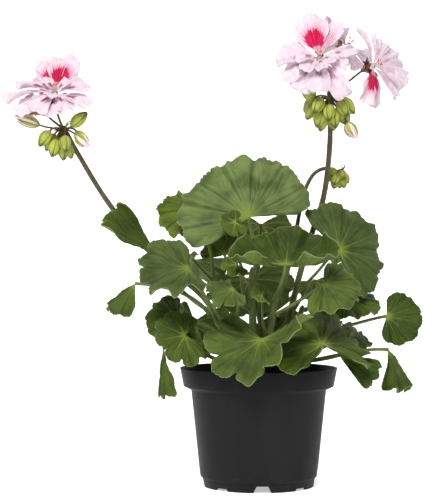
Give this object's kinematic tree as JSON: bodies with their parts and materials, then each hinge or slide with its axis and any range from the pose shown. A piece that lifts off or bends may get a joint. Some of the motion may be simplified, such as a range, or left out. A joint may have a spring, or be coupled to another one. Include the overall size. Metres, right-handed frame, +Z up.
{
  "type": "potted geranium plant",
  "caption": "Flowering zonal geranium with scalloped round leaves and pale pink blotched blooms, growing in a black plastic nursery pot",
  "frame": {"origin": "on the pot's axis, in the plane that the pot's feet stand on", "axes": "+Z up along the pot's axis, -Y towards the plant's front as pictured, +X to its right"},
  "size_m": [0.3221, 0.1741, 0.3603],
  "materials": {
    "pot_plastic": "matte moulded",
    "potting_soil": "crumbly peat",
    "stem": "soft green bark",
    "leaf": "velvety leaf",
    "flower_stalk": "hairy green stalk",
    "petal": "thin silky petal"
  },
  "bodies": {
    "root": {"pot": "pot_plastic", "soil": "potting_soil", "stem": "stem", "leaf_top": "leaf", "leaf_right_high": "leaf", "leaf_left_high": "leaf", "leaf_far_left": "leaf", "leaf_left": "leaf", "leaf_left_small": "leaf", "leaf_left_low_back": "leaf", "leaf_left_low": "leaf", "leaf_left_hanging": "leaf", "leaf_front_small": "leaf", "leaf_front": "leaf", "leaf_front_right": "leaf", "leaf_right_drape": "leaf", "leaf_right_low": "leaf", "leaf_right_round": "leaf", "leaf_right_behind": "leaf", "leaf_right": "leaf", "leaf_centre": "leaf", "leaf_young_top": "leaf", "leaf_young_left": "leaf", "leaf_young_low": "leaf", "leaf_back_top": "leaf", "leaf_back_left": "leaf", "leaf_back_right": "leaf", "leaf_back_middle": "leaf", "leaf_back_low_left": "leaf", "leaf_back_low": "leaf", "leaf_back_low_right": "leaf", "leaf_right_back_low": "leaf", "leaf_right_shade": "leaf", "leaf_back_high": "leaf", "flower_stalk_left": "flower_stalk", "flower_stalk_right": "flower_stalk", "bud_stalk": "flower_stalk", "bloom_left_front": "petal", "bloom_left_back": "petal", "bloom_right_front": "petal", "bloom_right_back": "petal", "bloom_right_side": "petal"}
  },
  "joints": []
}
